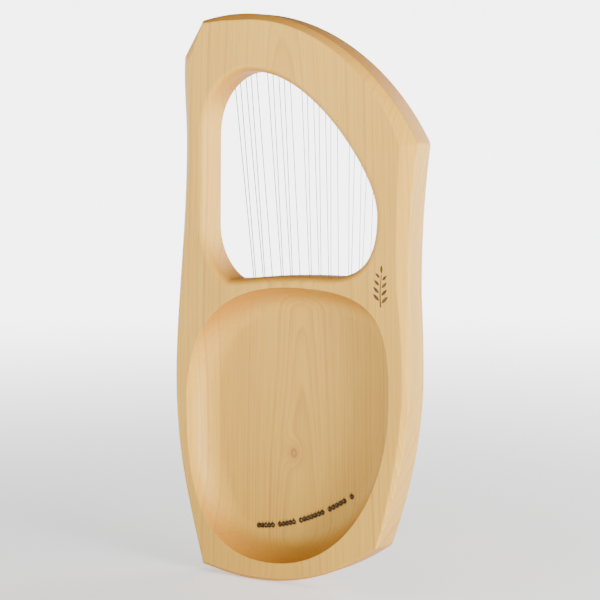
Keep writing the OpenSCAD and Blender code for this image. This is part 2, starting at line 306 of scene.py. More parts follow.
class Shape:
    """Points and faces gathered piece by piece, welded and turned into one object."""

    def __init__(self):
        self.points, self.faces, self.kinds, self.values, self.count = [], [], [], [], 0

    def add(self, points, value=0.0):
        points = np.asarray(points, float)
        start = self.count
        self.points.append(points)
        self.values.append(np.broadcast_to(np.asarray(value, float), len(points)))
        self.count += len(points)
        return start

    def strip(self, rings, kind=0, values=None):
        """Quads between rings of equal length."""
        starts = [self.add(r, 0.0 if values is None else values[k]) for k, r in enumerate(rings)]
        n = len(rings[0])
        for a, b in zip(starts[:-1], starts[1:]):
            for i in range(n):
                j = (i + 1) % n
                self.faces.append((a + i, a + j, b + j, b + i))
                self.kinds.append(kind)
        return self

    def plane(self, outer, holes, z, extra=(), value=None, marks=()):
        """A face at height z, a number or a function of the points, with holes, through any extra points.

        The areas inside the marks' outlines take the second material.
        """
        loops = [outer, *holes, *marks]
        flat = np.concatenate([*loops, np.asarray(extra, float).reshape(-1, 2)])
        edges, start = [], 0
        for loop in loops:
            n = len(loop)
            edges += [(start + i, start + (i + 1) % n) for i in range(n)]
            start += n
        made = delaunay_2d_cdt([Vector(p) for p in flat], edges, [], 1, 1e-6)
        points = np.array([list(p) for p in made[0]])
        tris = np.array([t for t in made[2] if len(t) == 3])
        middle = points[tris].mean(1)
        keep = within(outer, middle)
        for hole in holes:
            keep &= ~within(hole, middle)
        height = z(points) if callable(z) else z
        base = self.add(at_height(points, height), 0.0 if value is None else value(points))
        marked = np.zeros(len(tris), bool)
        for mark in marks:
            marked |= within(mark, middle)
        for t, m in zip(tris[keep], marked[keep]):
            self.faces.append(tuple(int(base + v) for v in t))
            self.kinds.append(int(m))
        return self

    def cap(self, ring):
        base = self.add(ring)
        self.faces.append(tuple(range(base, base + len(ring))))
        self.kinds.append(0)
        return self

    def tube(self, path, r, sides):
        """A round tube along a path of 3-D points, with its sections turned as little as possible."""
        path = np.asarray(path, float)
        r = np.broadcast_to(np.asarray(r, float), len(path))
        tangent = unit(np.gradient(path, axis=0))
        first = np.cross(tangent[0], [0, 0, 1.0])
        if np.linalg.norm(first) < 1e-3:
            first = np.cross(tangent[0], [1.0, 0, 0])
        u = unit(first)
        rings = []
        a = np.arange(sides) * 2 * math.pi / sides
        for p, t, radius in zip(path, tangent, r):
            u = unit(u - (u @ t) * t)
            v = np.cross(t, u)
            rings.append(p + radius * (np.cos(a)[:, None] * u + np.sin(a)[:, None] * v))
        return self.strip(rings).cap(rings[0]).cap(rings[-1])

    def object(self, name, materials, smooth=32.0, weld=1e-5, attribute=None):
        points = world(np.concatenate(self.points))
        mesh = bpy.data.meshes.new(name)
        mesh.from_pydata(points.tolist(), [], self.faces)
        for m in materials:
            mesh.materials.append(m)
        mesh.polygons.foreach_set("material_index", self.kinds)
        if attribute:
            made = mesh.attributes.new(attribute, "FLOAT", "POINT")
            made.data.foreach_set("value", np.concatenate(self.values).astype(np.float32))
        obj = bpy.data.objects.new(name, mesh)
        bpy.context.scene.collection.objects.link(obj)
        tidy(mesh, weld, smooth)
        return obj


def tidy(mesh, weld, smooth):
    """Welds a mesh, turns its faces outward and marks its crisp edges."""
    bm = bmesh.new()
    bm.from_mesh(mesh)
    bmesh.ops.remove_doubles(bm, verts=bm.verts, dist=weld)
    bmesh.ops.dissolve_degenerate(bm, dist=1e-7, edges=bm.edges)
    bmesh.ops.recalc_face_normals(bm, faces=bm.faces)
    bm.to_mesh(mesh)
    bm.free()
    mesh.polygons.foreach_set("use_smooth", [True] * len(mesh.polygons))
    mesh.set_sharp_from_angle(angle=math.radians(smooth))


def within(loop, points):
    """Which points lie inside a closed loop."""
    a, b = np.asarray(loop, float), np.roll(loop, -1, 0)
    result = np.zeros(len(points), bool)
    for (ax, ay), (bx, by) in zip(a, b):
        cross = (ay > points[:, 1]) != (by > points[:, 1])
        if ay != by:
            at = ax + (points[:, 1] - ay) * (bx - ax) / (by - ay)
            result ^= cross & (points[:, 0] < at)
    return result


def soften_corners(rings, path, reach=1.6, steps=5):
    """Rounds the upright corners of every ring, where the path itself turns sharply."""
    corners = set(turning(path, 11).tolist())
    made = []
    for ring in rings:
        out = []
        n = len(ring)
        for i, p in enumerate(ring):
            if i not in corners:
                out.append(p)
                continue
            a, b = ring[i - 1] - p, ring[(i + 1) % n] - p
            a = p + a * min(0.45, reach / np.linalg.norm(a))
            b = p + b * min(0.45, reach / np.linalg.norm(b))
            t = np.linspace(0, 1, steps)[:, None]
            out.extend((1 - t) ** 2 * a + 2 * t * (1 - t) * p + t ** 2 * b)
        made.append(np.array(out))
    return made


def round_profile(rings, radii, steps=4):
    """Rounds the edges that run along the rings: each inner ring becomes a small arc."""
    made = [rings[0]]
    for k in range(1, len(rings) - 1):
        p = rings[k]
        if radii[k] == 0:
            made.append(p)
            continue
        a, b = rings[k - 1] - p, rings[k + 1] - p
        la = np.linalg.norm(a, axis=1, keepdims=True)
        lb = np.linalg.norm(b, axis=1, keepdims=True)
        a = p + a * np.minimum(0.7 if k == 1 else 0.45, radii[k] / np.maximum(la, 1e-9))
        b = p + b * np.minimum(0.7 if k == len(rings) - 2 else 0.45, radii[k] / np.maximum(lb, 1e-9))
        for t in np.linspace(0, 1, steps):
            made.append((1 - t) ** 2 * a + 2 * t * (1 - t) * p + t ** 2 * b)
    made.append(rings[-1])
    return made


# ---- Materials --------------------------------------------------------------


class Nodes:
    """A short way to lay out one material's nodes."""

    def __init__(self, name):
        self.material = bpy.data.materials.new(name)
        self.material.use_nodes = True
        self.tree = self.material.node_tree
        self.tree.nodes.clear()
        self.out = self.tree.nodes.new("ShaderNodeOutputMaterial")
        self.shader = self.tree.nodes.new("ShaderNodeBsdfPrincipled")
        self.tree.links.new(self.shader.outputs[0], self.out.inputs[0])
        self.coords = self.tree.nodes.new("ShaderNodeTexCoord")

    def put(self, socket, value):
        if isinstance(value, bpy.types.NodeSocket):
            self.tree.links.new(value, socket)
        elif value is not None:
            socket.default_value = value

    def math(self, operation, a, b=None, clamp=False):
        node = self.tree.nodes.new("ShaderNodeMath")
        node.operation, node.use_clamp = operation, clamp
        for socket, value in zip(node.inputs, (a, b)):
            self.put(socket, value)
        return node.outputs[0]

    def stretch(self, vector, by):
        node = self.tree.nodes.new("ShaderNodeVectorMath")
        node.operation = "MULTIPLY"
        self.put(node.inputs[0], vector)
        self.put(node.inputs[1], by)
        return node.outputs[0]

    def length(self, vector):
        node = self.tree.nodes.new("ShaderNodeVectorMath")
        node.operation = "LENGTH"
        self.put(node.inputs[0], vector)
        return node.outputs["Value"]

    def split(self, vector):
        node = self.tree.nodes.new("ShaderNodeSeparateXYZ")
        self.put(node.inputs[0], vector)
        return node.outputs

    def noise(self, vector, scale, detail=2.0, roughness=0.5, distortion=0.0, dims="3D", w=None):
        node = self.tree.nodes.new("ShaderNodeTexNoise")
        node.noise_dimensions = dims
        if vector is not None:
            self.put(node.inputs["Vector"], vector)
        if w is not None:
            self.put(node.inputs["W"], w)
        settings = {"Scale": scale, "Detail": detail, "Roughness": roughness, "Distortion": distortion}
        for name, value in settings.items():
            node.inputs[name].default_value = value
        return node.outputs[0]

    def ramp(self, fac, stops):
        """A grey ramp through (position, value) stops."""
        node = self.tree.nodes.new("ShaderNodeValToRGB")
        self.put(node.inputs[0], fac)
        elements = node.color_ramp.elements
        while len(elements) < len(stops):
            elements.new(0.5)
        for element, (at, value) in zip(elements, stops):
            element.position = at
            element.color = (value, value, value, 1.0)
        return node.outputs[0]

    def span(self, value, low, high, to_low=0.0, to_high=1.0, smooth=False):
        node = self.tree.nodes.new("ShaderNodeMapRange")
        node.interpolation_type = "SMOOTHSTEP" if smooth else "LINEAR"
        for socket, item in zip(node.inputs, (value, low, high, to_low, to_high)):
            self.put(socket, item)
        return node.outputs[0]

    def mix(self, fac, a, b, blend="MIX"):
        node = self.tree.nodes.new("ShaderNodeMix")
        node.data_type, node.blend_type = "RGBA", blend
        self.put(node.inputs[0], fac)
        for socket, value in ((node.inputs[6], a), (node.inputs[7], b)):
            self.put(socket, (*value, 1.0) if isinstance(value, tuple) and len(value) == 3 else value)
        return node.outputs[2]

    def bump(self, height, distance, strength):
        node = self.tree.nodes.new("ShaderNodeBump")
        node.inputs["Strength"].default_value = strength
        node.inputs["Distance"].default_value = distance
        self.put(node.inputs["Height"], height)
        return node.outputs[0]

    def attribute(self, name):
        node = self.tree.nodes.new("ShaderNodeAttribute")
        node.attribute_name = name
        return node.outputs["Fac"]

    def finish(self, colour, roughness, normal=None, metallic=0.0, **others):
        main = {"Base Color": colour, "Roughness": roughness, "Normal": normal, "Metallic": metallic}
        for name, value in main.items():
            if value is not None:
                self.put(self.shader.inputs[name], value)
        for name, value in others.items():
            self.put(self.shader.inputs[name.replace("_", " ")], value)
        return self.material


KNOT = (13.9, 147.2)  # on the bowl's floor


def spruce(name, burnt=False, shade=(1.0, 1.0, 1.0)):
    """Satin spruce: growth rings of one flat-sawn plank, fibres, a knot, and darker end grain."""
    n = Nodes(name)
    here = n.coords.outputs["Object"]
    x, y, z = n.split(here)
    # How far each point is from the knot, which is a little taller than it is wide
    kx = n.math("SUBTRACT", x, ORIGIN[0] + KNOT[0] * MM)
    kz = n.math("SUBTRACT", z, ORIGIN[2] + KNOT[1] * MM)
    kz_squared = n.math("MULTIPLY", n.math("MULTIPLY", kz, kz), 0.62)
    from_knot = n.math("SQRT", n.math("ADD", n.math("MULTIPLY", kx, kx), kz_squared))
    wobble = n.math("SUBTRACT", n.noise(n.stretch(here, (9.0, 9.0, 2.6)), 1.0, 2.0), 0.5)
    ripple = n.math("SUBTRACT", n.noise(n.stretch(here, (60.0, 60.0, 9.0)), 1.0, 2.0), 0.5)
    # Distance from the tree's pith, in millimetres, which lies in front of the plank and leans back
    px = n.math("MULTIPLY", n.math("SUBTRACT", x, ORIGIN[0] + 0.004), 1000.0)
    lean = n.math("MULTIPLY", n.math("SUBTRACT", z, ORIGIN[2] + 0.27), 36.0)
    py = n.math("ADD", n.math("MULTIPLY", n.math("SUBTRACT", y, ORIGIN[1] - 0.0315 - 0.052), 1000.0), lean)
    py = n.math("ADD", py, n.math("MULTIPLY", wobble, 7.0))
    px = n.math("ADD", px, n.math("MULTIPLY", wobble, 16.0))
    pith = n.math("SQRT", n.math("ADD", n.math("MULTIPLY", px, px), n.math("MULTIPLY", py, py)))
    nearness = n.math("POWER", n.math("DIVIDE", from_knot, 0.0125), 2.0)
    swell = n.math("MULTIPLY", n.math("EXPONENT", n.math("MULTIPLY", nearness, -1.0)), 6.5)
    pith = n.math("ADD", n.math("ADD", pith, swell), n.math("MULTIPLY", ripple, 1.1))
    years = n.noise(None, 0.11, 1.0, dims="1D", w=pith)
    rings = n.math("ADD", n.math("MULTIPLY", pith, 0.26), n.math("MULTIPLY", years, 3.0))
    year = n.math("FRACT", rings)
    late = n.ramp(year, [(0.0, 0.25), (0.07, 0.0), (0.45, 0.06), (0.80, 0.45), (0.94, 1.0), (1.0, 0.3)])
    uneven = n.noise(n.stretch(here, (30.0, 30.0, 4.0)), 1.0, 2.0)
    late = n.math("MULTIPLY", late, n.span(uneven, 0.3, 0.75, 0.35, 1.0))
    fibre = n.noise(n.stretch(here, (1500.0, 1500.0, 26.0)), 1.0, 3.0, 0.6)
    streak = n.noise(n.stretch(here, (260.0, 260.0, 5.0)), 1.0, 3.0, 0.6)
    cloud = n.noise(n.stretch(here, (7.0, 7.0, 1.8)), 1.0, 3.0, 0.55)
    colour = n.mix(n.span(cloud, 0.3, 0.7), (0.560, 0.300, 0.026), (0.670, 0.390, 0.048))
    colour = n.mix(n.math("MULTIPLY", late, 0.80), colour, (0.390, 0.165, 0.020))
    colour = n.mix(n.span(streak, 0.35, 0.75, 0.0, 0.50), colour, (0.500, 0.245, 0.035))
    colour = n.mix(n.span(fibre, 0.3, 0.7, 0.0, 0.15), colour, (0.820, 0.560, 0.170))
    # End grain: surfaces that face up or down are warmer and darker
    facing = n.math("ABSOLUTE", n.split(n.coords.outputs["Normal"])[2])
    end = n.span(facing, 0.12, 0.80, 0.0, 1.0, smooth=True)
    pores = n.noise(n.stretch(here, (900.0, 900.0, 160.0)), 1.0, 2.0)
    end_colour = n.mix(n.span(pores, 0.3, 0.7), (0.340, 0.128, 0.010), (0.460, 0.195, 0.020))
    colour = n.mix(n.math("MULTIPLY", end, 0.82), colour, end_colour)
    # The knot's core, its rings and its dark rim
    core = n.span(from_knot, 0.0034, 0.0058, 1.0, 0.0, smooth=True)
    core = n.math("MULTIPLY", core, n.span(from_knot, 0.0008, 0.0028, 0.25, 1.0, smooth=True))
    knot_years = n.math("ADD", n.math("DIVIDE", from_knot, 0.00085), n.math("MULTIPLY", ripple, 1.5))
    knot_rings = n.math("FRACT", knot_years)
    knot_colour = n.mix(n.span(knot_rings, 0.45, 0.95), (0.400, 0.170, 0.035), (0.230, 0.085, 0.016))
    halo = n.span(from_knot, 0.0045, 0.0150, 0.45, 0.0, smooth=True)
    colour = n.mix(halo, colour, (0.480, 0.220, 0.045))
    colour = n.mix(n.math("MULTIPLY", core, 0.8), colour, knot_colour)
    # A tint multiplied over the whole colour; on the side faces it is painted sheen and shade, greyer and
    # a little deeper
    colour = n.mix(1.0, colour, shade, "MULTIPLY")
    # Scorched wood round the string holes, with painted shade on the walls of their recesses and a dark
    # streak above each hole
    patchiness = n.noise(n.stretch(here, (700.0, 700.0, 700.0)), 1.0, 2.0)
    scorch_and_shade = n.math("MULTIPLY", n.attribute("scorch_and_shade"), n.span(patchiness, 0.25, 0.6, 0.75, 1.0), clamp=True)
    if burnt:
        patchiness = n.noise(n.stretch(here, (500.0, 500.0, 200.0)), 1.0, 3.0)
        scorch_and_shade = n.span(patchiness, 0.3, 0.7, 0.88, 0.99)
    # Darkens towards near-black: scorch, and painted shade in the string-hole recesses
    colour = n.mix(scorch_and_shade, colour, (0.034, 0.017, 0.009))
    height = n.math("ADD", n.math("MULTIPLY", fibre, 0.5), n.math("MULTIPLY", late, 0.6))
    normal = n.bump(height, 0.00006, 0.5)
    rough = n.span(streak, 0.3, 0.7, 0.40, 0.52)
    return n.finish(colour, rough, normal, Specular_IOR_Level=0.22)


def rosewood(name):
    """Oiled dark hardwood with short open pores."""
    n = Nodes(name)
    here = n.coords.outputs["Object"]
    band = n.noise(n.stretch(here, (24.0, 160.0, 200.0)), 1.0, 4.0, 0.6, 0.6)
    pore = n.noise(n.stretch(here, (240.0, 2200.0, 2200.0)), 1.0, 2.0, 0.6)
    colour = n.mix(n.span(band, 0.3, 0.7), (0.050, 0.020, 0.012), (0.165, 0.075, 0.040))
    dark = n.span(pore, 0.60, 0.68, 0.0, 0.75)
    colour = n.mix(dark, colour, (0.014, 0.007, 0.005))
    normal = n.bump(n.math("SUBTRACT", 1.0, dark), 0.00008, 0.6)
    rough = n.span(band, 0.3, 0.7, 0.30, 0.42)
    return n.finish(colour, rough, normal, Coat_Weight=0.15, Coat_Roughness=0.25)


def metal(name, colour, dark, roughness, grain=(900.0, 900.0, 900.0), patches=60.0):
    """Drawn or turned metal with fine marks and a little tarnish."""
    n = Nodes(name)
    here = n.coords.outputs["Object"]
    patch = n.noise(here, patches, 3.0, 0.6)
    marks = n.noise(n.stretch(here, grain), 1.0, 2.0, 0.6)
    tone = n.mix(n.span(patch, 0.35, 0.7), colour, dark)
    tone = n.mix(n.span(marks, 0.4, 0.75, 0.0, 0.25), tone, dark)
    wear = n.math("ADD", n.math("MULTIPLY", patch, 0.6), n.math("MULTIPLY", marks, 0.4))
    rough = n.span(wear, 0.3, 0.7, roughness * 0.75, roughness * 1.35)
    return n.finish(tone, rough, n.bump(marks, 0.00002, 0.4), metallic=1.0)


SPRUCE = spruce("spruce")
BURNT = spruce("burnt_spruce", burnt=True)
# The side faces' copy of the spruce, tinted greyer and deeper as painted sheen and shade
SIDE = spruce("side_spruce_painted_sheen", shade=(0.80, 0.84, 1.25))
ROSEWOOD = rosewood("rosewood")
BRASS = metal("brass", (0.860, 0.640, 0.300), (0.560, 0.370, 0.150), 0.26)
OLD_BRASS = metal("aged_brass", (0.420, 0.290, 0.130), (0.130, 0.085, 0.045), 0.34, patches=500.0)
STEEL = metal("drawn_steel", (0.040, 0.039, 0.037), (0.020, 0.019, 0.018), 0.28, (3000.0, 3000.0, 60.0))
NICKEL, WORN_NICKEL = (0.560, 0.565, 0.580), (0.280, 0.285, 0.300)
PIN_STEEL = metal("nickelled_steel", NICKEL, WORN_NICKEL, 0.28, (400.0, 1500.0, 400.0))


def finish_piece(obj, body, slot, *stands_for):
    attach(obj, body)
    if stands_for:
        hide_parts(*stands_for)
    return obj


# ---- The carved body --------------------------------------------------------


def body_profile():
    """Rings from the back face's edge, over the bevel and the side, to the front face's edge."""
    path, where = closed_path(BODY_CURVES, 3.0)
    widths = np.array([bend(BEVEL_WIDTHS[int(k)], t) for k, t in where])
    depths = np.array([bend(BEVEL_DEPTHS[int(k)], t) for k, t in where])
    rings = [
        at_height(side_ring(path, widths + 1.4), 0),
        at_height(side_ring(path, widths), 0),
        at_height(path, depths),
        at_height(path, FRONT - FRONT_CHAMFER),
        at_height(side_ring(path, FRONT_CHAMFER), FRONT),
        at_height(side_ring(path, FRONT_CHAMFER + 1.4), FRONT),
    ]
    return round_profile(soften_corners(rings, path), [0, 0.9, 0.9, 0.9, 0.9, 0])


def opening_profile():
    path, _ = closed_path(OPENING_CURVES, 3.0)
    rings = [at_height(inset(path, -OPENING_ROUND - 0.7), 0)]
    for a in np.radians(np.linspace(0, 90, 17)):
        back, deep = OPENING_ROUND * (1 - math.sin(a)), OPENING_ROUND * (1 - math.cos(a))
        rings.append(at_height(inset(path, -back), deep))
    rings += [
        at_height(path, FRONT - FRONT_CHAMFER),
        at_height(inset(path, -FRONT_CHAMFER), FRONT),
        at_height(inset(path, -FRONT_CHAMFER - 3), FRONT),
    ]
    return round_profile(rings, [0] * 18 + [0.9, 0.9, 0])


def bowl_profile():
    """Rings from the bowl's rim down its cove, to where the string holes' floor begins."""
    path, _ = closed_path(BOWL_CURVES, 3.0)
    rings = [at_height(inset(path, -1.2), 0), at_height(path, 0)]
    for a in np.linspace(0, math.acos(1 - FLOOR_FROM / COVE_W), 33)[1:-1]:
        rings.append(at_height(inset(path, COVE_W * (1 - math.cos(a))), BOWL_DEPTH * math.sin(a)))
    edge = inset(path, FLOOR_FROM)
    rings.append(at_height(edge, floor_height(edge)))
    return round_profile(rings, [0, 1.0] + [0] * (len(rings) - 2))


def floor_height(points):
    """How deep the bowl is at points on its floor or on the foot of its cove."""
    path, _ = closed_path(BOWL_CURVES, 3.0)
    step = np.roll(path, -1, 0) - path
    off = points[:, None] - path[None]
    along = np.clip((off * step).sum(2) / (step ** 2).sum(1), 0, 1)
    gap = np.linalg.norm(off - along[..., None] * step, axis=2).min(1)
    return BOWL_DEPTH * np.sqrt(1 - (1 - np.minimum(gap / COVE_W, 1)) ** 2)


def streak_lean(i):
    """How far the dark streak above string hole i leans."""
    return 0.55 * math.sin(2.1 * i + 0.7)


def floor_scorch_and_shade(points):
    """How dark the floor is round the string holes, from 0 to 1: scorch with painted shade in a ring round
    each rim, and a dark streak above each hole.
    """
    off = points[:, None] - FEET[None]
    ring = np.interp(np.linalg.norm(off, axis=2).min(1), [2.45, 2.85, 3.25, 3.9], [1.0, 0.95, 0.5, 0.0])
    lean = np.array([streak_lean(i) for i in range(len(FEET))])
    streak = np.interp(abs(off[..., 0] - lean), [0.2, 0.85], [1, 0])
    streak = streak * np.interp(off[..., 1], [1.8, 2.4, 4.4, 6.4], [0, 0.95, 0.6, 0])
    return np.maximum(ring, streak.max(1))


def sprig():
    """Outlines of a small leafy twig, branded into the back beside the bowl."""
    foot, marks = np.array([-124.0, 325.0]), []

    def leaf(base, angle, length, half):
        t = np.linspace(0, 1, 11)
        bulge = half * np.sin(math.pi * t ** 0.85)
        along = np.array([math.sin(angle), math.cos(angle)])
        across = np.array([along[1], -along[0]])
        edge = base + length * t[:, None] * along + bulge[:, None] * across
        back = base + length * t[:, None] * along - bulge[:, None] * across
        marks.append(np.concatenate([edge, back[-2:0:-1]]))

    h = np.linspace(0, 36, 13)
    sway = 0.9 * np.sin(h / 9)
    stem = foot + np.stack([sway, h], 1)
    half = np.interp(h, [0, 36], [0.95, 0.5])
    out = np.stack([half, np.zeros(len(h))], 1)
    marks.append(np.concatenate([stem + out, (stem - out)[::-1]]))
    for k, up in enumerate(np.linspace(6, 31, 4)):
        at = foot + np.array([0.9 * math.sin(up / 9), up])
        for side in (-1, 1):
            base = at + np.array([1.5 * side, 1.2 * side])
            leaf(base, side * math.radians(48), 11.5 - 1.1 * k, 2.0 - 0.15 * k)
    leaf(foot + np.array([0.9 * math.sin(4), 37.2]), 0.0, 9.5, 1.7)
    return marks


def from_feet(points):
    """Each point's distance from the nearest string hole."""
    return np.linalg.norm(points[:, None] - FEET[None], axis=2).min(1)


def floor_points():
    """Points that the bowl's floor is meshed through, so that its shape and its scorching and painted
    shade round the holes show.
    """
    path, _ = closed_path(BOWL_CURVES, 3.0)
    points = []
    for i, foot in enumerate(FEET):
        streak = [(streak_lean(i) + u, v) for v in np.arange(2.9, 6.8, 0.4) for u in (-0.85, -0.2, 0.2, 0.85)]
        points.append(foot + np.array(streak))
        for k, r in enumerate((2.75, 3.1, 3.6, 4.2)):
            ring = arc(foot, r, 20, 0.1 * k)
            points.append(ring[from_feet(ring) > r - 0.02])
    for width in (23.5, 25, 26.5, 28, 29.5, 31):
        ring = inset(path, width)
        points.append(ring[from_feet(ring) > 2.75])
    points = np.concatenate(points)
    return points[from_feet(points) > 2.6]


def carved_body():
    outer, opening, bowl = body_profile(), opening_profile(), bowl_profile()
    s = Shape()
    # The side faces, outer[7:11], take the third material: the spruce tinted with painted sheen and shade
    s.strip(outer[:8]).strip(outer[7:11], kind=2).strip(outer[10:]).strip(opening).strip(bowl)
    s.plane(outer[0][:, :2], [opening[0][:, :2], bowl[0][:, :2]], 0, marks=sprig())
    bores, recesses = [], []
    for t in STRINGS:
        mouth = arc(t["pin"], PIN_R + 0.35, 24)
        wall = arc(t["pin"], PIN_R + PIN_PLAY, 24)
        deep = FRONT - PIN_DEEP - 1
        bores.append(mouth)
        s.strip([at_height(mouth, FRONT), at_height(wall, FRONT - 0.3), at_height(wall, deep)])
        s.cap(at_height(wall, deep))
        rim = arc(t["foot"], RECESS_R + 0.16, 24)
        recess, hole = arc(t["foot"], RECESS_R, 24), arc(t["foot"], HOLE_R, 24)
        recesses.append(rim)
        # The recess and hole walls are darkened in full: scorch, with painted shade down in the recess
        s.strip(
            [
                at_height(rim, floor_height(rim)),
                at_height(recess, BOWL_DEPTH + 0.18),
                at_height(recess, BOWL_DEPTH + RECESS_DEPTH),
                at_height(hole, BOWL_DEPTH + RECESS_DEPTH),
                at_height(hole, FRONT),
            ],
            values=[0.95, 1.0, 1.0, 1.0, 0.0],
        )
    s.plane(bowl[-1][:, :2], recesses, floor_height, floor_points(), floor_scorch_and_shade)
    holes = [arc(t["foot"], HOLE_R, 24) for t in STRINGS]
    s.plane(outer[-1][:, :2], [opening[-1][:, :2], *bores, *holes], FRONT)
    obj = s.object("carved_body", [SPRUCE, BURNT, SIDE], 34.0, attribute="scorch_and_shade")
    return finish_piece(obj, "frame", "pale_wood", "body")


# ---- Strings, ball ends and pins --------------------------------------------


def string_route(t):
    """A string's centre line: up through the board, over its saddle and the nut, down to its coil."""
    r, way, foot = t["r"], t["way"], t["foot"]
    bend_r = SADDLE_R + TOUCH + r
    route = [(0, BALL_Z + BALL_R * 0.4), (0, FRONT), (0, t["top"] - bend_r - 1)]
    for a in np.radians(np.linspace(0, 88, 9)):
        route.append((bend_r * (1 - math.cos(a)), t["top"] - bend_r * (1 - math.sin(a))))
    to_nut = np.linalg.norm(t["nut"] - foot)
    to_coil = (t["coil"] - foot) @ way
    for f in np.linspace(0.05, 0.97, 12):
        route.append((bend_r + (to_nut - bend_r) * f, t["top"] + (t["nut_z"] - t["top"]) * f))
    slope_in = (t["nut_z"] - t["top"]) / (to_nut - bend_r)
    slope_out = (t["coil_z"] - t["nut_z"]) / (to_coil - to_nut)
    for k in np.linspace(-1.6, 1.6, 5):
        slope = slope_in if k < 0 else slope_out
        route.append((to_nut + k, t["nut_z"] + slope * k - 0.03 * (1.6 - abs(k))))
    route.append((to_coil - 0.5, t["coil_z"]))
    route = np.array(route)
    return np.column_stack([foot + route[:, :1] * way, route[:, 1]])


def around(centre, r, a, z):
    """Points at radius r and angle a round an upright axis."""
    return at_height(np.stack([centre[0] + r * np.cos(a), centre[1] + r * np.sin(a)], 1), z)


def coil_route(t):
    """The wire's turns round its pin and its end, which goes into the pin's eye."""
    r = t["r"]
    start = math.atan2(*(t["coil"] - t["pin"])[::-1])
    turns = np.linspace(-LEVEL_TURN, COIL_TURNS - 0.7, int(30 * COIL_TURNS))
    a = start - turns * 2 * math.pi
    # The first turn stays level a quarter turn each way, so that the wire meets it wherever the pin stands
    level = [-LEVEL_TURN, LEVEL_TURN, 1 - LEVEL_TURN, COIL_TURNS]
    z = t["coil_z"] + 2.04 * r * np.interp(turns, level, [0, 0, 1, COIL_TURNS + LEVEL_TURN])
    ring = around(t["pin"], t["coil_r"], a, z)
    last = a[-1] - np.radians([12, 24, 34])
    reach = t["coil_r"] * np.array([0.97, 0.8, 0.45])
    end = around(t["pin"], reach, last, z[-1] + np.array([0.15, 0.3, 0.4]))
    return np.concatenate([ring, end])


def strings():
    for note, t in zip(NOTES, STRINGS):
        s = Shape().tube(string_route(t), t["r"] + WIRE_MORE, 12)
        finish_piece(s.object("wire_" + note, [STEEL]), "frame", "string_steel", "string_" + note)


def ball_ends():
    """Each brass ball end is a grooved eyelet, hung in the string's twisted loop."""
    s, w = Shape(), Shape()
    half = [(0.66, 1.3), (1.5, 1.3), (1.7, 1.15), (BALL_R, 0.95), (1.6, 0.55), (1.32, 0.4)]
    groove = [(r, -h) for r, h in half] + half[::-1]
    groove.append(groove[0])
    deep = np.array([0, 0, 1.0])
    for i, t in enumerate(STRINGS):
        middle = np.array([*t["foot"], BALL_Z])
        turn = 0.5 * math.sin(7.3 * i + 1.0)
        axis = np.array([math.cos(turn), math.sin(turn), 0])
        side = np.array([-math.sin(turn), math.cos(turn), 0])
        a = np.arange(24) * 2 * math.pi / 24
        circle = np.cos(a)[:, None] * side + np.sin(a)[:, None] * deep
        s.strip([middle + axis * h + r * circle for r, h in groove])
        r = max(t["r"], 0.26)
        b = np.radians(np.linspace(75, 445, 28))[:, None]
        w.tube(middle + (1.32 + r * 0.8) * (np.cos(b) * side + np.sin(b) * deep), r * 0.9, 8)
        lift = side * (1 if side[1] > 0 else -1)
        q = np.linspace(1.35, 4.1 + 0.5 * math.sin(3 * i), 9)
        twist = np.stack([0.25 * np.sin(q * 4 + i), 0 * q, -0.55 - 0.16 * np.minimum(q, 2.2)], 1)
        w.tube(middle + lift * q[:, None] + twist, r * 0.8, 8)
    finish_piece(s.object("ball_eyelets", [OLD_BRASS]), "frame", "brass", "ball_ends")
    finish_piece(w.object("ball_loops", [STEEL]), "frame", "string_steel")


# A pin's square head: height from its foot, half the width across flats, and how square it is
HEAD = [
    (0.5, 1.74, 0.45), (1.4, 1.74, 0.85), (2.4, 1.735, 1.0),
    (SQUARE_L - 0.7, 1.70, 1.0), (SQUARE_L - 0.2, 1.62, 1.0), (SQUARE_L, 1.35, 0.9),
]


def pin_rings(centre):
    """A pin's rings from its foot in the wood, over its threads, to the top of its square head."""
    square_z = FRONT + PIN_H - SQUARE_L
    profile = [(1.6, FRONT - PIN_DEEP), (2.3, FRONT - 21.2), (PIN_R, FRONT - 20)]
    z = FRONT - 3.0
    profile.append((PIN_R, z))
    while z < FRONT + 5.0:
        profile += [(PIN_R, z + 0.12), (2.28, z + 0.3), (2.28, z + 0.36), (PIN_R, z + 0.54)]
        z += 0.6
    profile += [(PIN_R, z + 0.1), (PIN_R, square_z - 0.5), (2.42, square_z)]
    rings = [at_height(arc(centre, r, 32, math.pi / 32), h) for r, h in profile]
    a = math.pi / 32 + np.arange(32) * 2 * math.pi / 32
    box = 1 / np.maximum(abs(np.cos(a)), abs(np.sin(a)))
    for h, half, blend in HEAD:
        reach = np.minimum(half * box, 2.34) * blend + np.minimum(2.42, half * 1.36) * (1 - blend)
        rings.append(around(centre, np.minimum(reach, 2.42), a, square_z + h))
    return rings


def tuning_pins():
    for note, t in zip(NOTES, STRINGS):
        rings, body = pin_rings(t["pin"]), "pin_" + note
        s = Shape().strip(rings).cap(rings[0]).cap(rings[-1])
        finish_piece(s.object("pin_" + note, [PIN_STEEL], 30.0), body, "pin_steel", "tuning_pin_" + note)
        w = Shape().tube(coil_route(t), t["r"], 10)
        finish_piece(w.object("coil_" + note, [STEEL]), body, "string_steel")


# ---- Nut and bridge ---------------------------------------------------------


def sweep(path, section):
    """A section of (sideways, height) points carried along a level path."""
    side = unit(left_of(np.gradient(path, axis=0)))
    return [np.array([[*(p + o * u), h] for o, h in section]) for p, u in zip(path, side)]


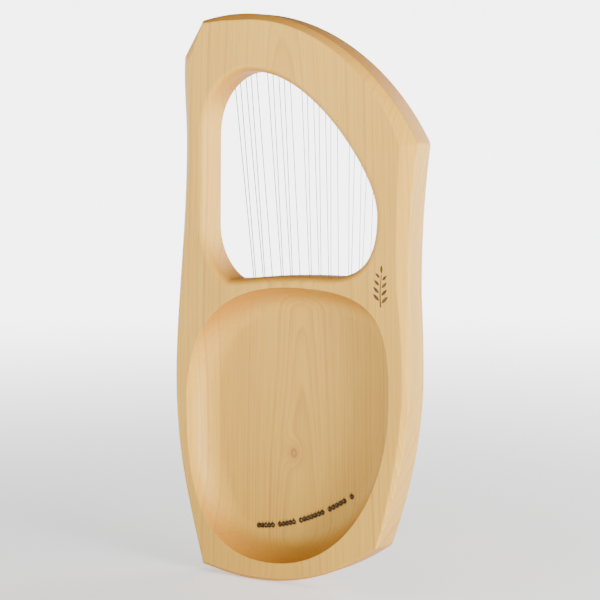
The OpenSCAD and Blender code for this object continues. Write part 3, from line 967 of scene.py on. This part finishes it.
def nut():
    half, top = NUT_RAIL_W / 2, FRONT + NUT_H - 2 * NUT_ROD_R - SEAT
    edge = [(half, FRONT), (half, top - 1.6), (half - 0.5, top - 0.5), (half - 1.6, top)]
    section = [(-o, h) for o, h in edge] + edge[::-1]
    rings = sweep(NUT_PATH, section)
    s = Shape().strip(rings).cap(rings[0]).cap(rings[-1])
    finish_piece(s.object("nut_rail_smooth", [ROSEWOOD], 28.0), "frame", "dark_wood", "nut_rail")
    z = FRONT + NUT_H - NUT_ROD_R
    path = at_height(NUT_PATH, z)
    start, end = unit(path[0] - path[1]), unit(path[-1] - path[-2])
    r = np.full(len(path), NUT_ROD_R)
    r[0] = r[-1] = NUT_ROD_R * 0.8
    r[1] = r[-2] = NUT_ROD_R
    rod = Shape().tube(path, r, 20)
    finish_piece(rod.object("nut_rod_smooth", [BRASS], 40.0), "frame", "brass", "nut_rod")


def soften_cad(name, material, width):
    """A CAD node shown as it is, with its edges eased and its own material."""
    obj = frame["nodes"][name]
    obj.data.materials.clear()
    obj.data.materials.append(material)
    weld = obj.modifiers.new("weld", "WELD")
    weld.merge_threshold = 1e-6
    ease = obj.modifiers.new("ease", "BEVEL")
    ease.width, ease.segments, ease.limit_method, ease.angle_limit = width, 2, "ANGLE", math.radians(40)
    ease.harden_normals = True


# ---- Studio -----------------------------------------------------------------


HORIZON, ZENITH = 5.5, 0.22


def floor_paper():
    """Matt white paper that glows as painted light, faintly near the harp and more strongly with distance,
    until it meets the bright horizon; near the harp its glow also lights the harp from below.
    """
    n = Nodes("studio_paper")
    here = n.coords.outputs["Object"]
    speck = n.noise(here, 40.0, 3.0)
    fade = n.span(n.length(here), 0.25, 3.6, 0.0, 1.0, smooth=True)
    colour = n.mix(n.span(speck, 0.3, 0.7), (0.90, 0.90, 0.90), (0.885, 0.885, 0.885))
    colour = n.mix(fade, colour, (0.0, 0.0, 0.0))
    # The paper's glow is painted light: 0.7 near the harp, rising to the horizon's brightness far off
    n.put(n.shader.inputs["Emission Color"], (1.0, 1.0, 1.0, 1.0))
    n.put(n.shader.inputs["Emission Strength"], n.span(fade, 0.0, 1.0, 0.7, HORIZON))
    return n.finish(colour, 0.8, Specular_IOR_Level=0.0)


def studio():
    r, steps = 40.0, 96
    ring = [(r * math.cos(a), r * math.sin(a), 0.0) for a in np.arange(steps) * 2 * math.pi / steps]
    mesh = bpy.data.meshes.new("floor")
    mesh.from_pydata(ring, [], [tuple(range(steps))])
    mesh.materials.append(floor_paper())
    floor = bpy.data.objects.new("floor", mesh)
    floor.location.z = CAD_LO.z - 0.0005
    bpy.context.scene.collection.objects.link(floor)

    sky = bpy.data.worlds.new("studio")
    sky.use_nodes = True
    tree = sky.node_tree
    kinds = ("ShaderNodeTexCoord", "ShaderNodeSeparateXYZ", "ShaderNodeMapRange")
    coords, split, span = (tree.nodes.new(kind) for kind in kinds)
    tree.links.new(coords.outputs["Generated"], split.inputs[0])
    tree.links.new(split.outputs[2], span.inputs["Value"])
    span.interpolation_type = "SMOOTHSTEP"
    for name, value in (("From Min", 0.05), ("From Max", 0.18), ("To Min", HORIZON), ("To Max", ZENITH)):
        span.inputs[name].default_value = value
    tree.links.new(span.outputs["Result"], tree.nodes["Background"].inputs["Strength"])
    tree.nodes["Background"].inputs["Color"].default_value = (1.0, 1.0, 1.0, 1.0)
    bpy.context.scene.world = sky

    middle = (CAD_LO + CAD_HI) / 2
    for name, offset, size, power in (
        ("key", (-1.84, 0.50, -0.02), 0.8, 96.0),
        ("top", (0.1, 0.55, 1.8), 1.2, 9.0),
        ("front_fill", (-0.6, -2.0, 0.9), 1.6, 36.0),
    ):
        lamp = bpy.data.lights.new(name, "AREA")
        lamp.shape, lamp.size, lamp.energy = "DISK", size, power
        obj = bpy.data.objects.new(name, lamp)
        obj.location = middle + Vector(offset)
        obj.rotation_mode = "QUATERNION"
        obj.rotation_quaternion = (-Vector(offset)).to_track_quat("-Z", "Y")
        bpy.context.scene.collection.objects.link(obj)


def camera():
    azimuth, elevation, distance = math.radians(215), math.radians(5), 2.2
    back = Vector((
        math.sin(azimuth) * math.cos(elevation),
        -math.cos(azimuth) * math.cos(elevation),
        math.sin(elevation),
    ))
    target = Vector(world([(-4, 326, 18)])[0])
    made = bpy.data.cameras.new("camera")
    made.sensor_width, made.lens = 36.0, 116.5
    obj = bpy.data.objects.new("camera", made)
    obj.location = target + back * distance
    obj.rotation_mode = "QUATERNION"
    obj.rotation_quaternion = (-back).to_track_quat("-Z", "Y")
    made.clip_start, made.clip_end = 0.05, 60.0
    bpy.context.scene.collection.objects.link(obj)
    bpy.context.scene.camera = obj


carved_body()
strings()
ball_ends()
tuning_pins()
nut()
soften_cad("bridge", ROSEWOOD, 0.3 * MM)
soften_cad("bridge_saddles", BRASS, 0.15 * MM)
studio()
camera()
